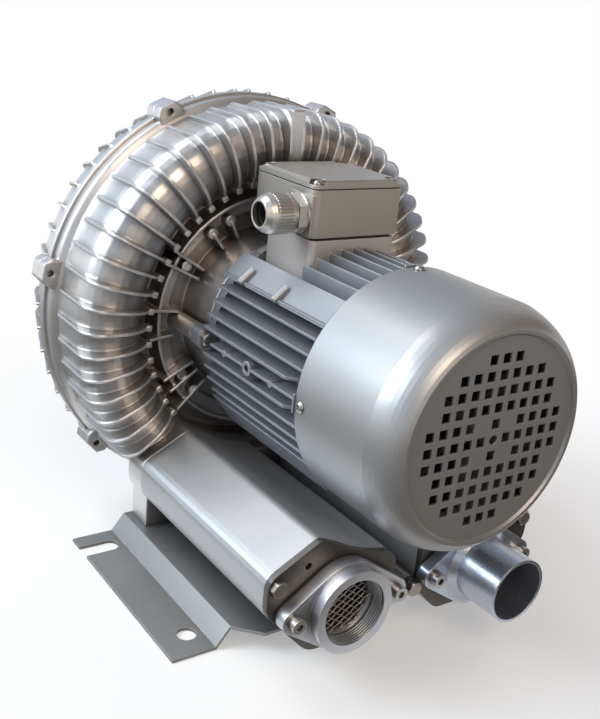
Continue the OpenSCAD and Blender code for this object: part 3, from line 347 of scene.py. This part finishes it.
paint_cast(
    ["gland_body", "gland_nut"], "nickel gland",
    colour=(0.68, 0.66, 0.62), shade=(0.62, 0.60, 0.56), dust_and_shade=(0.16, 0.13, 0.10),
    metal=0.9, gloss=0.34, reach=0.003, dust_and_shade_share=0.6, wear_and_highlight_gain=0.0, pit_depth=0.00001)

# The gaskets of the box and its lid, the ring in the gland and the seal of the
# shaft: moulded black rubber, pressed between their neighbours.

paint_cast(
    ["box_gasket", "lid_gasket", "gland_seal", "shaft_seal"], "black rubber",
    colour=(0.03, 0.03, 0.03), shade=(0.02, 0.02, 0.02), dust_and_shade=(0.012, 0.012, 0.012),
    metal=0.0, gloss=0.6, reach=0.006)

# The base plate: three millimetre steel sheet, punched and bent twice on each
# side, with a dull grey finish. The ring housing stands on it with its feet.

paint_cast(
    ["base_plate"], "dull base sheet",
    colour=(0.35, 0.35, 0.345), shade=(0.28, 0.28, 0.275), dust_and_shade=(0.08, 0.075, 0.07),
    metal=0.6, gloss=0.4, reach=0.03, grain=500.0)

# The bolts and nuts that hold the feet on the base plate: rolled steel with a
# black oxide finish, dull in the corners.

paint_cast(
    ["foot_bolts", "foot_nuts"], "black bolts",
    colour=(0.05, 0.05, 0.05), shade=(0.03, 0.03, 0.03), dust_and_shade=(0.02, 0.02, 0.02),
    metal=0.6, gloss=0.45, reach=0.008)

# The screws of the lugs, the motor, the cowl, the lid and the ports, and the
# washer and bolt that hold the impeller: zinc plated steel.

paint_cast(
    ["housing_screws", "motor_screws", "cowl_screws", "lid_screws", "flange_screws", "impeller_washer",
     "impeller_bolt"], "zinc screws",
    colour=(0.55, 0.54, 0.53), shade=(0.42, 0.41, 0.40), dust_and_shade=(0.10, 0.09, 0.08),
    metal=0.95, gloss=0.28, reach=0.005)

# The silencers: drawn aluminium tubes, silver painted like the ring, closed in
# front by bare cast plates. Long bolts with a warm tint of age hold them.

paint_cast(
    ["silencer_tube_left", "silencer_tube_right"], "silver silencer paint",
    colour=(0.55, 0.56, 0.575), shade=(0.47, 0.48, 0.495), dust_and_shade=(0.10, 0.09, 0.08),
    metal=0.72, gloss=0.39, reach=0.02, pit_depth=0.00006)
paint_cast(
    ["end_plate_left", "end_plate_right"], "bare cast plates",
    colour=(0.15, 0.145, 0.14), shade=(0.11, 0.105, 0.10), dust_and_shade=(0.07, 0.055, 0.045),
    metal=0.8, gloss=0.38, reach=0.02)
paint_cast(
    ["silencer_bolts"], "tinted zinc bolts",
    colour=(0.45, 0.42, 0.38), shade=(0.33, 0.31, 0.28), dust_and_shade=(0.08, 0.065, 0.05),
    metal=0.9, gloss=0.34, reach=0.008)

# The lining of the silencers: dark open foam, cut to the inside of the tubes
# and pushed in. It can be seen only through the ports.

paint_cast(
    ["foam_left", "foam_right"], "dark foam",
    colour=(0.05, 0.05, 0.05), shade=(0.03, 0.03, 0.03), dust_and_shade=(0.01, 0.01, 0.01),
    metal=0.0, gloss=0.9, reach=0.02, grain=300.0, pit_depth=0.0008)

# The port flanges: cast aluminium, turned bright where the pipe or the hose
# goes, and fixed on the end plates with two screws each.

paint_cast(
    ["threaded_flange"], "turned threaded flange",
    colour=(0.68, 0.70, 0.75), shade=(0.56, 0.575, 0.61), dust_and_shade=(0.09, 0.08, 0.07),
    metal=0.9, gloss=0.33, reach=0.012, pit_depth=0.00005)
paint_cast(
    ["hose_flange"], "turned hose flange",
    colour=(0.64, 0.69, 0.79), shade=(0.56, 0.60, 0.69), dust_and_shade=(0.08, 0.07, 0.06),
    metal=0.95, gloss=0.28, reach=0.012, pit_depth=0.00002)

# The gaskets of the two ports: two millimetre fibre sheet, nearly black at
# their cut edges.

paint_cast(
    ["flange_gaskets"], "fibre gaskets",
    colour=(0.10, 0.10, 0.095), shade=(0.07, 0.07, 0.065), dust_and_shade=(0.03, 0.03, 0.03),
    metal=0.0, gloss=0.7, reach=0.006)

# The port screen: a net of woven wire, galvanised and gone dull, that is
# pressed against the step behind the thread. The solid there is a flat disc.

screen_metal = paint_cast(
    ["port_screen"], "wire screen",
    colour=(0.42, 0.40, 0.37), shade=(0.33, 0.31, 0.29), dust_and_shade=(0.05, 0.045, 0.04),
    metal=0.8, gloss=0.4, reach=0.006)
screen_low, screen_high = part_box("port_screen")
port_middle = (screen_low + screen_high) / 2
net_r = 0.0286
wire_r = 0.00048
wire_pitch = 0.0054
wire_lean = math.radians(35)
wire_lift = 0.00042
wires_each_side = 9


def lay_wire(points, radius):
    """Draws a thin six sided wire through the points."""
    bpy.ops.object.select_all(action="DESELECT")
    along = points[-1] - points[0]
    bpy.ops.mesh.primitive_circle_add(vertices=6, radius=radius, fill_type="NGON", location=points[0],
                                      rotation=along.to_track_quat("Z", "Y").to_euler())
    bpy.ops.object.transform_apply(location=True, rotation=True, scale=True)
    bpy.ops.object.mode_set(mode="EDIT")
    bpy.ops.mesh.select_all(action="SELECT")
    for start, end in zip(points, points[1:]):
        bpy.ops.mesh.extrude_region_move(TRANSFORM_OT_translate={"value": tuple(end - start)})
    bpy.ops.object.mode_set(mode="OBJECT")
    return bpy.context.object


def join_pieces(pieces, name):
    """Makes one object of several, with its faces turned outward."""
    bpy.ops.object.select_all(action="DESELECT")
    for piece in pieces:
        piece.select_set(True)
    bpy.context.view_layer.objects.active = pieces[0]
    if len(pieces) > 1:
        bpy.ops.object.join()
    bpy.ops.object.mode_set(mode="EDIT")
    bpy.ops.mesh.select_all(action="SELECT")
    bpy.ops.mesh.normals_make_consistent(inside=False)
    bpy.ops.object.mode_set(mode="OBJECT")
    whole = bpy.context.object
    whole.name = name
    whole.data.name = name
    return whole


def net_crossing(i, j, side):
    """Where wire i of one family crosses wire j of the other, above or below it."""
    first = Vector((math.cos(wire_lean), 0, math.sin(wire_lean)))
    second = Vector((-math.cos(wire_lean), 0, math.sin(wire_lean)))
    step = wire_pitch / math.sin(2 * wire_lean)
    lift = wire_lift * side * (1 if (i + j) % 2 else -1)
    return port_middle + first * (j * step) + second * (i * step) + Vector((0, lift, 0))


def lay_family(paths):
    """Lays the wires of one family, each cut to the round edge of the net."""
    laid = []
    for path in paths:
        kept = [spot for spot in path if (spot - port_middle).length < net_r]
        if len(kept) > 1:
            laid.append(lay_wire(kept, wire_r))
    return laid


net_range = range(-wires_each_side, wires_each_side + 1)
rising = [[net_crossing(i, j, 1) for j in net_range] for i in net_range]
falling = [[net_crossing(j, i, -1) for j in net_range] for i in net_range]
wire_net = join_pieces(lay_family(rising) + lay_family(falling), "woven_wire_net")
wire_net.data.materials.append(screen_metal)
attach(wire_net, "blower")
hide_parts("port_screen")

# The thread of the left port: a two inch pipe thread cut in the collar, six
# turns of a sharp ridge that winds along the bore.

thread_pitch = 0.00231
thread_height = 0.00135
thread_turns = 6
steps_a_turn = 40
thread_share = 0.92
thread_lead_in = 0.0012
thread_sunk = 0.0001
port_bore_r = 0.0298
blank_r = 0.001
blank_height = 0.0015
blank_width = 0.00173
flange_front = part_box("threaded_flange")[0].y
thread_start = Vector((port_middle.x, flange_front + thread_lead_in, port_middle.z))
bpy.ops.object.select_all(action="DESELECT")
bpy.ops.mesh.primitive_circle_add(vertices=3, radius=blank_r, fill_type="NOTHING", location=thread_start)
thread = bpy.context.object
bpy.ops.object.mode_set(mode="EDIT")
bpy.ops.mesh.select_all(action="SELECT")
bpy.ops.transform.rotate(value=math.radians(90), orient_axis="Z", center_override=thread_start)
ridge_scale = (thread_height / blank_height, thread_pitch * thread_share / blank_width, 1)
bpy.ops.transform.resize(value=ridge_scale, center_override=thread_start)
bpy.ops.transform.translate(value=(port_bore_r - thread_height / 3 + thread_sunk, 0, 0))
bpy.ops.object.mode_set(mode="OBJECT")
winding = thread.modifiers.new("winding", "SCREW")
winding.axis = "Y"
winding.screw_offset = thread_pitch
winding.iterations = thread_turns
winding.steps = steps_a_turn
winding.render_steps = steps_a_turn
bpy.ops.object.modifier_apply(modifier="winding")
bpy.ops.object.transform_apply(location=True, rotation=True, scale=True)
thread = join_pieces([thread], "port_thread")
thread.data.materials.append(nodes["threaded_flange"].data.materials[0])
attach(thread, "blower")

# The studio floor: pale matt paint that keeps the shadow of the machine. Farther
# out it glows white for the camera and for reflections.

floor_size = 30.0
glow_near = 0.2
glow_far = 0.8
glow_least = 0.35


def paint_floor(near, far, least):
    """Pale matt paint that turns into a white glow from near to far, with the least share in the middle."""
    paint = bpy.data.materials.new("pale floor")
    paint.use_nodes = True
    tree = paint.node_tree
    matt = tree.nodes["Principled BSDF"]
    matt.inputs["Roughness"].default_value = 0.9
    matt.inputs["Specular IOR Level"].default_value = 0.1
    place = tree.nodes.new("ShaderNodeTexCoord")
    cloud = tree.nodes.new("ShaderNodeTexNoise")
    cloud.inputs["Scale"].default_value = 3.0
    ray = tree.nodes.new("ShaderNodeLightPath")
    tone = blend_colours(tree, (0.80, 0.79, 0.78), (0.84, 0.83, 0.82))
    bounce = blend_colours(tree, second=(0.20, 0.19, 0.18))
    link(tree, place.outputs["Object"], cloud.inputs["Vector"])
    link(tree, cloud.outputs["Fac"], tone.inputs["Factor"])
    link(tree, ray.outputs["Is Diffuse Ray"], bounce.inputs["Factor"])
    link(tree, tone.outputs["Result"], bounce.inputs["A"])
    link(tree, bounce.outputs["Result"], matt.inputs["Base Color"])

    distance = tree.nodes.new("ShaderNodeVectorMath")
    distance.operation = "LENGTH"
    fade = add_range(tree, near, far, least, 1.0, "SMOOTHSTEP")
    seen = add_math(tree, "MAXIMUM")
    shown = add_math(tree, "MAXIMUM")
    share = add_math(tree, "MULTIPLY")
    link(tree, place.outputs["Object"], distance.inputs[0])
    link(tree, distance.outputs["Value"], fade.inputs["Value"])
    link(tree, ray.outputs["Is Camera Ray"], seen.inputs[0])
    link(tree, ray.outputs["Is Glossy Ray"], seen.inputs[1])
    link(tree, seen.outputs[0], shown.inputs[0])
    link(tree, ray.outputs["Is Transmission Ray"], shown.inputs[1])
    link(tree, shown.outputs[0], share.inputs[0])
    link(tree, fade.outputs["Result"], share.inputs[1])

    glow = tree.nodes.new("ShaderNodeEmission")
    glow.inputs["Color"].default_value = (1, 1, 1, 1)
    glow.inputs["Strength"].default_value = 1.0
    mix = tree.nodes.new("ShaderNodeMixShader")
    link(tree, share.outputs[0], mix.inputs["Fac"])
    link(tree, matt.outputs["BSDF"], mix.inputs[1])
    link(tree, glow.outputs["Emission"], mix.inputs[2])
    link(tree, mix.outputs["Shader"], tree.nodes["Material Output"].inputs["Surface"])
    return paint


bpy.ops.mesh.primitive_plane_add(size=floor_size, location=(0, 0, 0))
floor = bpy.context.object
floor.name = "studio_floor"
floor.data.materials.append(paint_floor(glow_near, glow_far, glow_least))

# The studio card: brown board, cut so that it lies in front of the machine and
# on its left. Only reflections show it, and it keeps the low sides dark.

card_lift = 0.0015
card_edge = [
    (-0.345, -0.09), (0.10, -0.325), (0.44, -0.05), (0.87, 0.31), (2.4, 1.55),
    (2.4, -2.4), (-2.4, -2.4), (-2.4, 1.22), (0.08, 1.22), (-0.12, 0.64)]
bpy.ops.mesh.primitive_circle_add(vertices=len(card_edge), radius=1.0, fill_type="NGON", location=(0, 0, 0))
card = bpy.context.object
card.name = "studio_card"
for corner, (x, y) in zip(card.data.vertices, card_edge):
    corner.co = (x, y, card_lift)
card.visible_camera = False
card.visible_diffuse = False
card.visible_shadow = False
card_paint = bpy.data.materials.new("brown card")
card_paint.use_nodes = True
card_tree = card_paint.node_tree
card_face = card_tree.nodes["Principled BSDF"]
card_face.inputs["Roughness"].default_value = 0.9
card_cloud = card_tree.nodes.new("ShaderNodeTexNoise")
card_cloud.inputs["Scale"].default_value = 4.0
card_tone = blend_colours(card_tree, (0.07, 0.06, 0.05), (0.11, 0.095, 0.08))
link(card_tree, card_cloud.outputs["Fac"], card_tone.inputs["Factor"])
link(card_tree, card_tone.outputs["Result"], card_face.inputs["Base Color"])
card.data.materials.append(card_paint)

# The room: bright and cool on the left, dim and brown in front, with a white
# band at the horizon behind the far end of the floor.

dim_side = (0.80, -0.55, 0.0)
world = bpy.data.worlds.new("dim studio")
bpy.context.scene.world = world
world.use_nodes = True
sky_tree = world.node_tree
sky_tree.nodes.clear()
sky_out = sky_tree.nodes.new("ShaderNodeOutputWorld")
room_way = sky_tree.nodes.new("ShaderNodeTexCoord")
room_side = sky_tree.nodes.new("ShaderNodeVectorMath")
room_side.operation = "DOT_PRODUCT"
room_side.inputs[1].default_value = dim_side
room_blend = add_range(sky_tree, -0.6, 0.8, shape="SMOOTHSTEP")
room_tint = blend_colours(sky_tree, (0.38, 0.46, 0.58), (0.13, 0.095, 0.07))
room_height = sky_tree.nodes.new("ShaderNodeSeparateXYZ")
room_band = add_range(sky_tree, 0.08, 0.2, shape="SMOOTHSTEP")
room_all = blend_colours(sky_tree, (1, 1, 1))
soft_fill = sky_tree.nodes.new("ShaderNodeBackground")
soft_fill.inputs["Strength"].default_value = 1.0
link(sky_tree, room_way.outputs["Generated"], room_side.inputs[0])
link(sky_tree, room_side.outputs["Value"], room_blend.inputs["Value"])
link(sky_tree, room_blend.outputs["Result"], room_tint.inputs["Factor"])
link(sky_tree, room_way.outputs["Generated"], room_height.inputs["Vector"])
link(sky_tree, room_height.outputs["Z"], room_band.inputs["Value"])
link(sky_tree, room_band.outputs["Result"], room_all.inputs["Factor"])
link(sky_tree, room_tint.outputs["Result"], room_all.inputs["B"])
link(sky_tree, room_all.outputs["Result"], soft_fill.inputs["Color"])
link(sky_tree, soft_fill.outputs[0], sky_out.inputs["Surface"])

# The lamps: a cool window on the left does most of the work, a warm lamp stands
# in front, and weak ones overhead and on the right open the shadows.


def add_softbox(name, place, target, width, height, power, colour):
    """A rectangular lamp at place that points at target."""
    bpy.ops.object.light_add(type="AREA", location=place)
    lamp = bpy.context.object
    lamp.name = name
    lamp.data.shape = "RECTANGLE"
    lamp.data.size = width
    lamp.data.size_y = height
    lamp.data.energy = power
    lamp.data.color = colour
    lamp.rotation_euler = (Vector(target) - Vector(place)).to_track_quat("-Z", "Y").to_euler()
    return lamp


add_softbox("window on the left", (-2.1, 0.8, 1.6), (0, 0, 0.25), 1.5, 1.3, 62, (0.84, 0.93, 1.0))
add_softbox("lamp overhead", (-0.9, 1.1, 2.4), (0, 0, 0.2), 1.0, 1.0, 18, (1.0, 0.98, 0.95))
add_softbox("lamp in front", (-0.6, -2.2, 2.0), (0, 0, 0.25), 1.4, 1.2, 34, (1.0, 0.83, 0.65))
add_softbox("lamp on the right", (2.2, 1.0, 1.6), (0, 0, 0.25), 1.4, 1.4, 3, (1.0, 0.92, 0.82))

# The camera stands where the photographer's did, turned and tilted the same.
# Its lens is worked out from the focal length and the height in pixels.

azimuth = math.radians(-36.24)
elevation = math.radians(20.07)
roll = math.radians(5.91)
camera_place = Vector((-0.5324, -0.6963, 0.5369))
focal_pixels = 993.0
photo_height = 719.0
film_size = 36.0
ahead = Vector((
    -math.sin(azimuth) * math.cos(elevation), math.cos(azimuth) * math.cos(elevation), -math.sin(elevation)))
level_right = ahead.cross(Vector((0, 0, 1))).normalized()
level_up = level_right.cross(ahead)
right = math.cos(roll) * level_right + math.sin(roll) * level_up
up = -math.sin(roll) * level_right + math.cos(roll) * level_up
camera_data = bpy.data.cameras.new("photo camera")
camera_data.sensor_width = film_size
camera_data.lens = film_size * focal_pixels / photo_height
camera_data.clip_start = 0.01
camera = bpy.data.objects.new("photo camera", camera_data)
bpy.context.scene.collection.objects.link(camera)
turn = Matrix((right, up, -ahead)).transposed().to_4x4()
camera.matrix_world = Matrix.Translation(camera_place) @ turn
bpy.context.scene.camera = camera
bpy.context.scene.view_settings.view_transform = "Standard"
